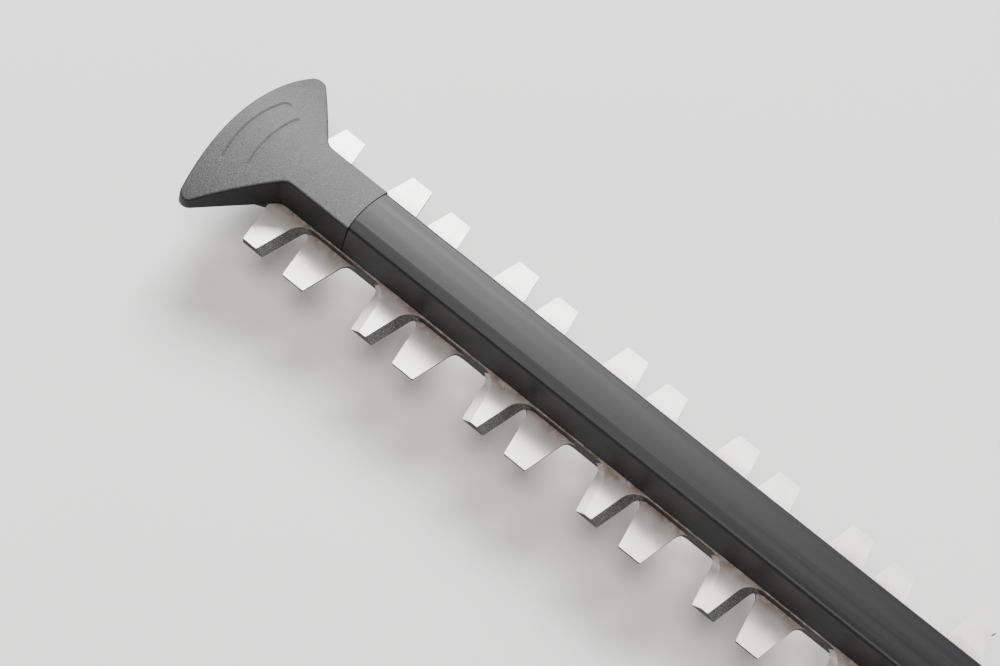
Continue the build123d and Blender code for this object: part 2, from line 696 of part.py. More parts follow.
fan_foot = motor_top + 6.0
with BuildPart() as cooling_fan:
    add(motor_ring(17.0, motor_shaft_r + 0.01, fan_foot, fan_foot + 1.4))
    add(motor_ring(5.0, motor_shaft_r + 0.01, fan_foot, fan_foot + 8))
    with BuildSketch(motor.offset(fan_foot + 1.0)):
        with PolarLocations(10.6, 9):
            Rectangle(12.0, 1.2, rotation=18)
    extrude(amount=7.0)
    add(motor_ring(17.0, 0, fan_foot, fan_foot + 10), mode=Mode.INTERSECT)
    add(motor_ring(motor_shaft_r + 0.01, 0, fan_foot - 1, fan_foot + 10), mode=Mode.SUBTRACT)
save(cooling_fan, "cooling_fan")

# ---------------------------------------------------------------- housing

def side_face(points, radius, y):
    """Rounded outline in a side view, at a distance to the left of the middle plane."""
    with BuildSketch(side.offset(-y)) as face:
        with BuildLine():
            FilletPolyline(*points, radius=radius, close=True)
        make_face()
    return face.sketch


def plate(points, radius, y0, y1):
    """Side outline extruded between two distances from the middle plane."""
    with BuildPart() as slab:
        extrude(side_face(points, radius, y0), amount=y0 - y1)
    return slab.part


def region(points, radius, half):
    """Left half of a housing region, with a bevelled outer edge."""
    with BuildPart() as lump:
        add(plate(points, radius, split_gap, half - edge_bevel))
        loft([side_face(points, radius, half - edge_bevel),
              side_face(drawn_in(points, edge_bevel), radius, half)], ruled=True)
    return lump.part


def side_posts(spots, radius, y0, y1):
    """Cylinders across the tool at (x, z) spots."""
    with BuildPart() as group:
        with BuildSketch(side.offset(-y0)):
            with Locations(*spots):
                Circle(radius)
        extrude(amount=y0 - y1)
    return group.part


split_gap = 0.05
edge_bevel = 3.5
shoe_z = pack_top + 1.0
rail_z = shoe_z + 10.0
gap_floor_z = 58.0
nacelle_points = [(57.5, -18), (57.5, 22), (30, 44), (-70, 44), (-84, 30), (-84, -18)]
tower_points = [(14, 30), (14, 56), (-8, 92), (-50, 104), (-84, 102), (-84, 30)]
frame_points = [(-50, 25), (-50, 108), (-104, 129), (-238, 131), (rear_end, 108), (rear_end, shoe_z),
                (-183, shoe_z), (-168, 25)]
gap_points = [(-100, gap_floor_z), (-112, 100), (-238, 102), (-258, 88), (-258, gap_floor_z)]
shoe_points = [(rear_end, shoe_z), (rear_end, gap_floor_z), (-183, gap_floor_z), (-183, shoe_z)]
shell_spots = [(44, 23), (0, 50), (-68, -8), (-72, 92), (-92, 36), (-248, 108), (-286, 90), (-276, 53.5)]
trigger_pivot = (-108, 106)
neck_half = 20.0
head_half = 26.0
tongue_front = -192.0
socket_front = -189.5
handle_bolt_z = 24.0

with BuildPart() as left_solid:
    add(region(nacelle_points, 6.0, nacelle_half))
    add(region(tower_points, 8.0, tower_half))
    add(region(frame_points, 8.0, grip_half))
    add(region(shoe_points, 5.0, shoe_half))
    add(plate(gap_points, 12.0, 0, grip_half + 1), mode=Mode.SUBTRACT)

with BuildPart() as left_hollow:
    add(plate(drawn_in(nacelle_points, wall), 4.0, -1, nacelle_half - wall))
    add(plate(drawn_in(tower_points, wall), 6.0, -1, tower_half - wall))
    add(plate(drawn_in(frame_points, wall), 6.0, -1, grip_half - wall))
    add(plate(drawn_in(gap_points, -wall), 12.0, -2, grip_half), mode=Mode.SUBTRACT)
    add(side_block(rear_end + wall, -183 - wall, -1, shoe_half - wall, rail_z, gap_floor_z - wall))
    add(side_block(rear_end - 1, -180, -2, shoe_half, shoe_z - 1, rail_z), mode=Mode.SUBTRACT)

with BuildPart() as left_inside:
    add(side_posts(shell_spots, 5.5, split_gap, nacelle_half))
    add(side_posts([trigger_pivot], 5.0, 9.5, grip_half))
    add(side_block(-186, -170, split_gap, grip_half, 108, 110))
    add(side_block(-126, -118, 8.0, grip_half, 116, 122))
    add(side_block(-165, -105, 11.0, grip_half, 31.5, 34))
    add(left_solid.part, mode=Mode.INTERSECT)

with BuildPart() as vents:
    with BuildSketch(side.offset(-tower_half + wall + 2)):
        with Locations(*[(x, 71.0) for x in range(-62, -18, 6)]):
            SlotOverall(28.0, 2.6, rotation=90)
    extrude(amount=-wall - 4)

with BuildPart() as left_shell:
    add(left_solid.part)
    add(left_hollow.part, mode=Mode.SUBTRACT)
    add(left_inside.part)
    add(side_block(-160 - 5, -99, -1, 9.4, 86, 106), mode=Mode.SUBTRACT)
    add(side_block(-188.3, -167.7, -1, 8.3, 124, 140), mode=Mode.SUBTRACT)
    add(side_block(rear_end - 1, socket_front, -1, neck_half + 0.4, shoe_z - 1, 42), mode=Mode.SUBTRACT)
    add(side_block(rear_end - 1, socket_front, -1, head_half + 0.4, 41.6, 46.4), mode=Mode.SUBTRACT)
    add(side_block(socket_front - 0.1, -185.4, -1, 24.2, 41.6, rail_z + 1), mode=Mode.SUBTRACT)
    add(side_block(rear_end - 1, -276.6, -1, 6.4, 46, rail_z + 1), mode=Mode.SUBTRACT)
    add(vents.part, mode=Mode.SUBTRACT)
    add(block(40, 60, nose_half + 0.4, -9, 19.2), mode=Mode.SUBTRACT)
    add(side_posts([trigger_pivot], 2.02, 0, grip_half - wall), mode=Mode.SUBTRACT)
    add(side_posts([(loop_x, handle_bolt_z)], 3.2, nacelle_half - 5, nacelle_half + 1), mode=Mode.SUBTRACT)

screw_seat = -12.0
with BuildPart() as housing_left:
    add(left_shell.part)
    add(side_posts(shell_spots, 1.6, 0, 11.0), mode=Mode.SUBTRACT)
save(housing_left, "housing_left")

with BuildPart() as housing_right:
    add(mirror(left_shell.part, about=Plane.XZ))
    add(side_posts(shell_spots, 1.7, -20, 0), mode=Mode.SUBTRACT)
    add(side_posts(shell_spots, 3.7, -nacelle_half - 1, screw_seat), mode=Mode.SUBTRACT)
save(housing_right, "housing_right")

with BuildPart() as housing_screws:
    add(side_posts(shell_spots, 3.3, screw_seat - 2.6, screw_seat))
    add(side_posts(shell_spots, 1.5, screw_seat, 10.0))
save(housing_screws, "housing_screws")

with BuildPart() as front_foot:
    with BuildSketch(level(pack_floor)):
        with Locations((30, 0)):
            RectangleRounded(26, 56, 5.0)
    extrude(amount=-18 - pack_floor)
    chamfer(front_foot.faces().sort_by(Axis.Z)[0].edges(), length=1.5)
save(front_foot, "front_foot")

grip_outer = [(-232, 100.6), (-232, 132.6), (-191, 132), (-191, 99.6)]
with BuildPart() as grip_overmould:
    add(plate(grip_outer, 1.5, -grip_half - 1.6, grip_half + 1.6))
    add(left_solid.part, mode=Mode.SUBTRACT)
    add(mirror(left_solid.part, about=Plane.XZ), mode=Mode.SUBTRACT)
    add(side_block(-240, -180, -grip_half + wall, grip_half - wall, 104, 128), mode=Mode.SUBTRACT)
save(grip_overmould, "grip_overmould")

# ---------------------------------------------------------------- hand guard

shield_points = [(-46, -16), (-98, 26), (-98, 80), (-72, 108), (72, 108), (98, 80), (98, 26), (46, -16)]
with BuildPart() as hand_guard:
    with BuildSketch(cross.offset(nose_front)):
        with BuildLine():
            FilletPolyline(*shield_points, radius=14.0, close=True)
        make_face()
        with Locations((0, 4.4)):
            RectangleRounded(26.0, 26.8, 2.0, mode=Mode.SUBTRACT)
        with Locations(*guard_screw_spots):
            Circle(1.9, mode=Mode.SUBTRACT)
    extrude(amount=3.5)
    with BuildSketch(cross.offset(nose_front + 3.4)):
        with BuildLine():
            FilletPolyline(*shield_points, radius=14.0, close=True)
        make_face()
        with BuildLine():
            FilletPolyline(*drawn_in(shield_points, 3.0), radius=11.5, close=True)
        make_face(mode=Mode.SUBTRACT)
    extrude(amount=3.0)
save(hand_guard, "hand_guard")

with BuildPart() as hand_guard_screws:
    add(cross_posts(guard_screw_spots, 3.4, nose_front + 3.5, nose_front + 5.6))
    add(cross_posts(guard_screw_spots, 1.75, flange_x + 0.2, nose_front + 3.5))
save(hand_guard_screws, "hand_guard_screws")

# ---------------------------------------------------------------- front handle

foot_y = nacelle_half + 0.1
boss_y = nacelle_half + 14.0
loop_plane = cross.offset(loop_x)
handle_spots = [(-loop_half, 62), (-loop_half, 128), (loop_half, 62), (loop_half, 128)]


def loop_tube(start_y, half_x, half_r):
    """Tube that follows the loop from one foot to the other."""
    with BuildPart() as tube:
        with BuildLine(loop_plane) as path:
            FilletPolyline(
                (-start_y, handle_bolt_z), (-loop_half, handle_bolt_z), (-loop_half, loop_top),
                (loop_half, loop_top), (loop_half, handle_bolt_z), (start_y, handle_bolt_z),
                radius=[22.0, 42.0, 42.0, 22.0],
            )
        mouth = Plane(origin=path.line @ 0, x_dir=(1, 0, 0), z_dir=(0, -1, 0))
        with BuildSketch(mouth):
            Ellipse(half_x, half_r)
        sweep(path=path.line)
    return tube.part


loop_skin = loop_tube(foot_y, tube_a, tube_b)
loop_core = loop_tube(boss_y, tube_a - tube_wall, tube_b - tube_wall)


def loop_half_shell(x0, x1, hole, seat):
    """The part of the loop between two distances from the crank axis."""
    with BuildPart() as half:
        add(loop_skin)
        add(loop_core, mode=Mode.SUBTRACT)
        with BuildSketch(loop_plane.offset(-tube_a)):
            with Locations(*handle_spots):
                Circle(4.6)
        extrude(amount=2 * tube_a)
        add(side_block(loop_x - tube_a, loop_x + tube_a, -8, 8, 178, 186))
        add(loop_skin, mode=Mode.INTERSECT)
        add(side_block(x0, x1, -120, 120, -40, 260), mode=Mode.INTERSECT)
        add(side_block(loop_x - 3.3, loop_x + 3.3, -10.1, 10.1, 170, 190), mode=Mode.SUBTRACT)
        add(side_block(loop_x - 7.3, loop_x + 7.3, -45.3, 45.3, 155, 172), mode=Mode.SUBTRACT)
        with BuildSketch(loop_plane.offset(-tube_a - 2)):
            with Locations(*handle_spots):
                Circle(hole)
        extrude(amount=2 * tube_a + 1, mode=Mode.SUBTRACT)
        if seat:
            with BuildSketch(loop_plane.offset(-tube_a - 2)):
                with Locations(*handle_spots):
                    Circle(3.4)
            extrude(amount=6.0, mode=Mode.SUBTRACT)
        with BuildSketch(side.offset(-120)):
            with Locations((loop_x, handle_bolt_z)):
                Circle(3.02)
        extrude(amount=240, mode=Mode.SUBTRACT)
    return half.part


with BuildPart() as handle_front:
    add(loop_half_shell(loop_x + split_gap, loop_x + 30, 1.6, False))
save(handle_front, "handle_front")

with BuildPart() as handle_back:
    add(loop_half_shell(loop_x - 30, loop_x - split_gap, 1.7, True))
save(handle_back, "handle_back")

with BuildPart() as handle_screws:
    with BuildSketch(loop_plane.offset(-tube_a + 1.6)):
        with Locations(*handle_spots):
            Circle(3.1)
    extrude(amount=2.4)
    with BuildSketch(loop_plane.offset(-tube_a + 4.0)):
        with Locations(*handle_spots):
            Circle(1.5)
    extrude(amount=20.0)
save(handle_screws, "handle_screws")

with BuildPart() as handle_bolts:
    for way in (-1, 1):
        head = sorted((way * (nacelle_half - wall - 4.0), way * (nacelle_half - wall)))
        stem = sorted((way * (nacelle_half - wall), way * (boss_y - 0.5)))
        add(side_posts([(loop_x, handle_bolt_z)], 5.0, *head))
        add(side_posts([(loop_x, handle_bolt_z)], 3.0, *stem))
save(handle_bolts, "handle_bolts")

bar_top = 172.0
with BuildPart() as switch_bar:
    add(side_block(loop_x - 7, loop_x + 7, -45, 45, loop_top - tube_b - 4.5, bar_top - 4))
    chamfer(switch_bar.faces().sort_by(Axis.Z)[0].edges(), length=1.5)
    add(side_block(loop_x - 3, loop_x + 3, -45, 45, bar_top - 5, bar_top))
    add(side_block(loop_x - 3, loop_x + 3, -48, 48, 169, bar_top))
save(switch_bar, "switch_bar")


def coil(x, y, low, high, radius, wire, turns):
    """Compression spring standing between two heights."""
    with BuildPart() as spring:
        with BuildLine() as path:
            Helix(pitch=(high - low - 2 * wire) / turns, height=high - low - 2 * wire, radius=radius,
                  center=(drive_x + x, y, blade_plane_z + low + wire))
        with BuildSketch(Plane(origin=path.line @ 0, z_dir=path.line % 0)):
            Circle(wire)
        sweep(path=path.line, is_frenet=True)
    return spring.part


with BuildPart() as switch_bar_springs:
    add(coil(loop_x, -30, bar_top + 0.02, 190.0, 2.6, 0.45, 6))
    add(coil(loop_x, 30, bar_top + 0.02, 190.0, 2.6, 0.45, 6))
save(switch_bar_springs, "switch_bar_springs")

with BuildPart() as microswitch:
    add(side_block(loop_x - 3.2, loop_x + 3.2, -10, 10, 177, 187))
    add(side_block(loop_x - 1.5, loop_x + 1.5, 3, 6, 176.4, 177))
save(microswitch, "microswitch")

# ---------------------------------------------------------------- rear controls

trigger_points = [(-102, 112), (-102, 101), (-114, 92), (-150, 80), (-158, 85), (-152, 104), (-118, 112)]
with BuildPart() as trigger:
    add(plate(trigger_points, [3, 3, 8, 3, 3, 3, 3], -9.0, 9.0))
    add(side_posts([trigger_pivot], 5.2, -4, 4), mode=Mode.SUBTRACT)
    add(side_posts([trigger_pivot], 2.06, -10, 10), mode=Mode.SUBTRACT)
save(trigger, "trigger")

with BuildPart() as trigger_pin:
    add(side_posts([trigger_pivot], 2.0, -grip_half + wall + 0.1, grip_half - wall - 0.1))
save(trigger_pin, "trigger_pin")

with BuildPart() as trigger_spring:
    pin_x, pin_z = drive_x + trigger_pivot[0], blade_plane_z + trigger_pivot[1]
    with BuildLine() as winding:
        Helix(pitch=1.3, height=6.5, radius=3.3, center=(pin_x, -3.2, pin_z), direction=(0, 1, 0))
    with BuildSketch(Plane(origin=winding.line @ 0, z_dir=winding.line % 0)):
        Circle(0.45)
    sweep(path=winding.line, is_frenet=True)
save(trigger_spring, "trigger_spring")

lock_x = -178.0
with BuildPart() as lock_off_button:
    add(side_block(lock_x - 10, lock_x + 10, -8, 8, 125, 135))
    fillet(lock_off_button.edges().filter_by(Axis.Z), radius=3.0)
    chamfer(lock_off_button.faces().sort_by(Axis.Z)[-1].edges(), length=1.2)
    add(side_block(lock_x - 12.5, lock_x + 12.5, -10.5, 10.5, 122.5, 125.5))
save(lock_off_button, "lock_off_button")

with BuildPart() as lock_off_spring:
    add(coil(lock_x, 0, 110.02, 122.48, 4.0, 0.5, 5))
save(lock_off_spring, "lock_off_spring")

with BuildPart() as main_switch:
    add(side_block(-130, -114, -7.9, 7.9, 116, 124))
    add(side_block(-124, -120, -2, 2, 115, 116))
save(main_switch, "main_switch")

with BuildPart() as control_board:
    add(side_block(-168, -102, -14.5, 14.5, 34, 35.6))
    add(side_block(-160, -140, -9, 9, 35.6, 42))
    add(side_block(-132, -122, -10, -2, 35.6, 46))
    add(side_block(-112, -102, -8, 8, 35.6, 42))
    for y in (3, 8):
        add(posts([(-134 + 2 * y, y)], 2.0, 35.6, 41))
save(control_board, "control_board")

blade_ys = (-18, -7, 7, 18)
with BuildPart() as terminal_block:
    add(block(-189.3, -185.6, 24.0, 41.8, 49.0))
    for y in blade_ys:
        add(side_block(-199, -189.3, y - 0.5, y + 0.5, 42.4, 45.6))
save(terminal_block, "terminal_block")


def lead(points, y, radius):
    """Round wire that follows corners in a side view."""
    with BuildPart() as wire:
        with BuildLine(side.offset(-y)) as path:
            FilletPolyline(*points, radius=radius)
        with BuildSketch(Plane(origin=path.line @ 0, z_dir=path.line % 0)):
            Circle(1.2)
        sweep(path=path.line)
    return wire.part


motor_run = [(-107, 42), (-107, 49), (-74, 52), (-70, 82), (-60, 82), (-60, 73.5)]
supply_run = [(-187.4, 49), (-187.4, 52.4), (-172, 52.4), (-164, 48), (-150, 48), (-150, 42)]
switch_run = [(-114, 120), (-92, 120), (-86, 104), (-86, 60), (-104, 54), (-104, 42)]
with BuildPart() as power_leads:
    for way in (-1, 1):
        add(lead(motor_run, way * 5, 3.0))
        add(lead(supply_run, way * 7, 2.0))
        add(lead(switch_run, way * 2, 4.0))
save(power_leads, "power_leads")

# ---------------------------------------------------------------- battery

pack_x = (rear_end + pack_front) / 2
pack_len = pack_front - rear_end
lamp_spots = [(y, -8.0) for y in (-14.0, -8.0, -2.0, 4.0)]


def pack_plan(height, inset):
    """Plan of the battery, drawn in by an inset."""
    with BuildSketch(level(height)) as plan:
        with Locations((pack_x, 0)):
            RectangleRounded(pack_len - 2 * inset, 2 * (pack_half - inset), 7.0 - inset)
    return plan.sketch


with BuildPart() as battery_case:
    extrude(pack_plan(pack_floor, 0.0), amount=pack_split - pack_floor)
    chamfer(battery_case.faces().sort_by(Axis.Z)[0].edges(), length=2.0)
    extrude(pack_plan(pack_floor + 2.4, 2.4), amount=pack_split - pack_floor, mode=Mode.SUBTRACT)
    add(cross_posts(lamp_spots, 1.7, rear_end - 1, rear_end + 3), mode=Mode.SUBTRACT)
    add(cross_posts([(14.0, -8.0)], 4.2, rear_end - 1, rear_end + 3), mode=Mode.SUBTRACT)
save(battery_case, "battery_case")

with BuildPart() as battery_lid:
    extrude(pack_plan(pack_split, 0.0), amount=pack_top - pack_split)
    add(block(rear_end + 0.5, tongue_front, neck_half, pack_top - 1, 42.5))
    add(block(rear_end + 0.5, tongue_front, head_half, 42, 46))
    extrude(pack_plan(pack_split - 0.1, 2.4), amount=pack_top - 2.4 - pack_split, mode=Mode.SUBTRACT)
    for y in blade_ys:
        add(side_block(-207, tongue_front + 1, y - 1.0, y + 1.0, 41.9, 47), mode=Mode.SUBTRACT)
    add(block(-286.2, -276.8, 6.2, 30, 47), mode=Mode.SUBTRACT)
    add(block(rear_end - 1, rear_end + 3, 13.3, 15.7, 33.3), mode=Mode.SUBTRACT)
save(battery_lid, "battery_lid")

with BuildPart() as battery_terminals:
    for y in blade_ys:
        add(side_block(-206.5, -200, y - 0.95, y + 0.95, 42, 45.6))
save(battery_terminals, "battery_terminals")

cell_xs = [pack_x + (i - 2) * 19.2 for i in range(5)]
cell_spots = [(x, z) for x in cell_xs for z in (-12.0, 7.4)]
with BuildPart() as battery_cells:
    add(side_posts(cell_spots, cell_r, -cell_len / 2, cell_len / 2))
    add(side_posts(cell_spots, 2.8, -cell_len / 2 - 0.7, cell_len / 2 + 0.7))
save(battery_cells, "battery_cells")

with BuildPart() as battery_release:
    add(block(rear_end, rear_end + 4, 13.0, 20, 33))
    chamfer(battery_release.edges().filter_by(Axis.Y).group_by(Axis.X)[0], length=1.0)
    add(block(rear_end + 4, -277, 5.9, 22, 25))
    add(block(-286, -277, 5.9, 22, 48.4))
save(battery_release, "battery_release")

with BuildPart() as release_spring:
    add(coil(-290.0, 0, 16.56, 21.98, 2.6, 0.35, 3))
save(release_spring, "release_spring")

with BuildPart() as charge_button:
    add(cross_posts([(14.0, -8.0)], 4.0, rear_end, rear_end + 3.2))
save(charge_button, "charge_button")

with BuildPart() as charge_lights:
    add(cross_posts(lamp_spots, 1.65, rear_end + 0.1, rear_end + 2.4))
save(charge_lights, "charge_lights")
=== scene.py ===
import json

import bpy
from mathutils import Matrix, Vector

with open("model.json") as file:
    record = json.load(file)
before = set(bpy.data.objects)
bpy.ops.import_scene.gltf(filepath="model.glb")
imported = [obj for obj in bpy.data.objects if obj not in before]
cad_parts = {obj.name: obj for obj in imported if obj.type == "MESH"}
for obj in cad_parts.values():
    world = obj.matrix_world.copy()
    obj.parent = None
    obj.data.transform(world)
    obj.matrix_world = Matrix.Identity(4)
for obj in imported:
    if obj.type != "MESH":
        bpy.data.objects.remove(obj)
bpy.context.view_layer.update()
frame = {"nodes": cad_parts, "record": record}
nodes = frame["nodes"]

# ---------------------------------------------------------------- materials


class Shader:
    """A node material under construction, in object space, so that lengths are in metres."""

    def __init__(self, name):
        self.material = bpy.data.materials.new(name)
        self.material.use_nodes = True
        self.tree = self.material.node_tree
        self.bsdf = self.tree.nodes["Principled BSDF"]
        self.place = self.tree.nodes.new("ShaderNodeTexCoord").outputs["Object"]

    def link(self, value, socket):
        """Set a socket to a number or colour, or wire an output to it."""
        if isinstance(value, bpy.types.NodeSocket):
            self.tree.links.new(value, socket)
        elif isinstance(value, tuple):
            socket.default_value = (*value, 1.0)
        else:
            socket.default_value = value

    def set(self, name, value):
        """Set or wire an input of the surface shader."""
        self.link(value, self.bsdf.inputs[name])

    def stretch(self, x, y, z):
        """Object coordinates, scaled along each axis."""
        node = self.tree.nodes.new("ShaderNodeMapping")
        node.inputs["Scale"].default_value = (x, y, z)
        self.link(self.place, node.inputs["Vector"])
        return node.outputs["Vector"]

    def noise(self, size, detail=3.0, rough=0.5, place=None, distort=0.0):
        """Cloudy noise whose features are about this many metres across."""
        node = self.tree.nodes.new("ShaderNodeTexNoise")
        self.link(place or self.place, node.inputs["Vector"])
        node.inputs["Scale"].default_value = 1.0 / size
        node.inputs["Detail"].default_value = detail
        node.inputs["Roughness"].default_value = rough
        node.inputs["Distortion"].default_value = distort
        return node.outputs["Fac"]

    def cells(self, size):
        """Distance to the nearest of scattered points this many metres apart."""
        node = self.tree.nodes.new("ShaderNodeTexVoronoi")
        self.link(self.place, node.inputs["Vector"])
        node.inputs["Scale"].default_value = 1.0 / size
        return node.outputs["Distance"]

    def ramp(self, value, *stops):
        """Colour ramp through (position, colour) stops."""
        node = self.tree.nodes.new("ShaderNodeValToRGB")
        self.link(value, node.inputs["Fac"])
        elements = node.color_ramp.elements
        while len(elements) < len(stops):
            elements.new(0.5)
        for element, (position, colour) in zip(elements, stops):
            element.position = position
            element.color = (*colour, 1.0)
        return node.outputs["Color"]

    def fit(self, value, low, high, to_low, to_high):
        """Map a range of values to another, clamped."""
        node = self.tree.nodes.new("ShaderNodeMapRange")
        for name, number in (("Value", value), ("From Min", low), ("From Max", high),
                             ("To Min", to_low), ("To Max", to_high)):
            self.link(number, node.inputs[name])
        return node.outputs["Result"]

    def spread(self, value, low=0.3, high=0.7):
        """Stretch the middle of a noise to run from 0 to 1."""
        return self.fit(value, low, high, 0.0, 1.0)

    def math(self, operation, a, b=0.0):
        """Any two-input or one-input sum."""
        node = self.tree.nodes.new("ShaderNodeMath")
        node.operation = operation
        self.link(a, node.inputs[0])
        self.link(b, node.inputs[1])
        return node.outputs["Value"]

    def plus(self, a, b):
        return self.math("ADD", a, b)

    def times(self, a, b):
        return self.math("MULTIPLY", a, b)

    def above(self, value, limit):
        """One where the value is over the limit, and zero elsewhere."""
        return self.math("GREATER_THAN", value, limit)

    def below(self, value, limit):
        """One where the value is under the limit, and zero elsewhere."""
        return self.math("LESS_THAN", value, limit)

    def mix(self, factor, a, b):
        """Blend two colours."""
        node = self.tree.nodes.new("ShaderNodeMix")
        node.data_type = "RGBA"
        first_colour, second_colour = node.inputs[6], node.inputs[7]
        self.link(factor, node.inputs["Factor"])
        self.link(a, first_colour)
        self.link(b, second_colour)
        return node.outputs[2]

    def axis(self, name, source=None):
        """One component of the position, or of another vector."""
        node = self.tree.nodes.new("ShaderNodeSeparateXYZ")
        self.link(source or self.place, node.inputs["Vector"])
        return node.outputs[name]

    def facing(self, name):
        """One component of the surface's own normal."""
        node = self.tree.nodes.new("ShaderNodeNewGeometry")
        return self.axis(name, node.outputs["True Normal"])

    def bump(self, height, distance, under=None, strength=1.0):
        """Bump the surface by a height times a distance in metres, on top of other normals."""
        node = self.tree.nodes.new("ShaderNodeBump")
        node.inputs["Distance"].default_value = distance
        node.inputs["Strength"].default_value = strength
        self.link(height, node.inputs["Height"])
        if under is not None:
            self.link(under, node.inputs["Normal"])
        self.link(node.outputs["Normal"], self.bsdf.inputs["Normal"])

    def rounded(self, radius):
        """Normals softened across sharp edges."""
        node = self.tree.nodes.new("ShaderNodeBevel")
        node.samples = 4
        node.inputs["Radius"].default_value = radius
        return node.outputs["Normal"]


def shade(colour, factor, lift=0.0):
    """A colour made lighter or darker."""
    return tuple(c * factor + lift for c in colour)


def plastic(name, colour, rough=0.48, depth=0.00004, dust=0.35):
    """Moulded plastic with a fine spark-eroded grain, faint mottling and a little dust on level faces."""
    grain_size, edge_radius, dust_colour = 0.0006, 0.0005, (0.30, 0.29, 0.26)
    lighter, darker = shade(colour, 1.18, 0.004), shade(colour, 0.90)
    s = Shader(name)
    mottle = s.noise(0.018, 4.0, 0.6)
    grain = s.noise(grain_size, 2.0, 0.7)
    base = s.mix(s.spread(mottle), darker, lighter)
    base = s.mix(s.fit(grain, 0.45, 0.75, 0.0, 0.5), base, lighter)
    level = s.fit(s.facing("Z"), 0.5, 1.0, 0.0, dust)
    patches = s.fit(s.noise(0.006, 5.0, 0.7), 0.45, 0.75, 0.0, 0.5)
    s.set("Base Color", s.mix(s.times(level, patches), base, dust_colour))
    s.set("Roughness", s.fit(s.noise(0.009, 4.0), 0.3, 0.7, rough - 0.06, rough + 0.10))
    pits = s.cells(grain_size * 1.6)
    s.bump(s.plus(grain, s.times(pits, 0.6)), depth, s.rounded(edge_radius))
    return s.material


def metal(name, colour, rough, streak=(1.0, 1.0, 1.0), grain=0.0008, edge=0.0003,
          stain=(0.25, 0.20, 0.16), metallic=1.0, depth=0.00001):
    """Bare or plated metal with streaks, faint stains and uneven gloss. A small streak factor draws it out."""
    s = Shader(name)
    lines = s.noise(0.012, 6.0, 0.75, s.stretch(*streak))
    spots = s.noise(0.01, 5.0, 0.65)
    base = s.mix(s.spread(lines), shade(colour, 0.80), colour)
    s.set("Base Color", s.mix(s.fit(spots, 0.58, 0.80, 0.0, 0.35), base, stain))
    s.set("Metallic", metallic)
    s.set("Roughness", s.fit(lines, 0.3, 0.7, rough - 0.07, rough + 0.12))
    s.bump(s.plus(s.noise(grain, 3.0), lines), depth, s.rounded(edge))
    return s.material


def blade_steel():
    """Ground blade faces with a painted brown shade at the root, standing in for the cover's shadow and dark
    reflection, and coarse bevels left speckled by the grinding.

    The normal tells the surfaces apart: level faces, sloped bevels, and the cut edge. Of the bevels on top,
    those that face the tip are ground bright.
    """
    level_from, edge_up_to = 0.95, 0.3
    root_from, root_to, root_waver = 0.0175, 0.0290, 0.010
    wheel_from, wheel_share = 0.0302, 0.10
    bright, brightest, painted_root_shade_brown = (0.90, 0.865, 0.835), (0.98, 0.96, 0.94), (0.185, 0.135, 0.105)
    wheel_grey, edge_black = (0.45, 0.44, 0.43), (0.035, 0.033, 0.035)
    pit_black, pit_dark, pit_rim = (0.055, 0.050, 0.050), (0.105, 0.098, 0.096), (0.36, 0.35, 0.34)
    s = Shader("blade_steel")

    up = s.facing("Z")
    level = s.math("ABSOLUTE", up)
    sloped = s.times(s.below(level, level_from), s.above(level, edge_up_to))
    unpolished = s.math("MAXIMUM", s.below(up, 0.0), s.fit(s.facing("X"), 0.15, 0.35, 1.0, 0.0))
    bevel = s.times(sloped, unpolished)
    edge = s.below(level, edge_up_to)

    out = s.math("ABSOLUTE", s.axis("Y"))
    cloud = s.noise(0.008, 3.0, 0.5)
    face = s.mix(s.spread(cloud), bright, brightest)
    ragged = s.plus(out, s.times(s.noise(0.006, 4.0, 0.6), root_waver))
    # painted shade and reflection: the face darkens to brown towards the root, beside the cover
    painted_root_shade = s.times(s.fit(ragged, root_from, root_to, 1.0, 0.0),
                    s.fit(s.noise(0.003, 5.0, 0.7), 0.2, 0.6, 0.55, 1.0))
    face = s.mix(painted_root_shade, face, painted_root_shade_brown)
    wheel = s.times(s.above(out, wheel_from), s.above(up, 0.9))
    face = s.mix(s.times(wheel, wheel_share), face, wheel_grey)

    speck = s.noise(0.00042, 3.0, 0.85)
    ground = s.ramp(speck, (0.36, pit_black), (0.53, pit_dark), (0.70, pit_rim))
    s.set("Base Color", s.mix(edge, s.mix(bevel, face, ground), edge_black))
    s.set("Metallic", 0.5)
    lines = s.noise(0.0016, 6.0, 0.8, s.stretch(1.0, 0.06, 1.0))
    s.set("Roughness", s.math("MAXIMUM", s.fit(lines, 0.3, 0.7, 0.40, 0.50), s.times(bevel, 0.70)))
    s.bump(s.plus(s.times(lines, 0.10), s.times(bevel, speck)), 0.00006, s.rounded(0.00010))
    return s.material


def cover_finish():
    """Satin black extrusion with fine lengthwise streaks."""
    black, dark = (0.006, 0.006, 0.007), (0.011, 0.011, 0.012)
    s = Shader("cover_satin")
    streak = s.noise(0.0022, 5.0, 0.65, s.stretch(0.02, 1.0, 1.0))
    broad = s.noise(0.008, 3.0, 0.5, s.stretch(0.04, 1.0, 1.0))
    s.set("Base Color", s.mix(s.spread(streak), black, dark))
    rub = s.plus(s.times(streak, 0.6), s.times(broad, 0.4))
    s.set("Roughness", s.fit(rub, 0.35, 0.65, 0.38, 0.50))
    s.set("Specular IOR Level", 0.30)
    s.bump(s.plus(s.times(streak, 0.5), s.noise(0.0005, 2.0)), 0.000008, s.rounded(0.0004))
    return s.material


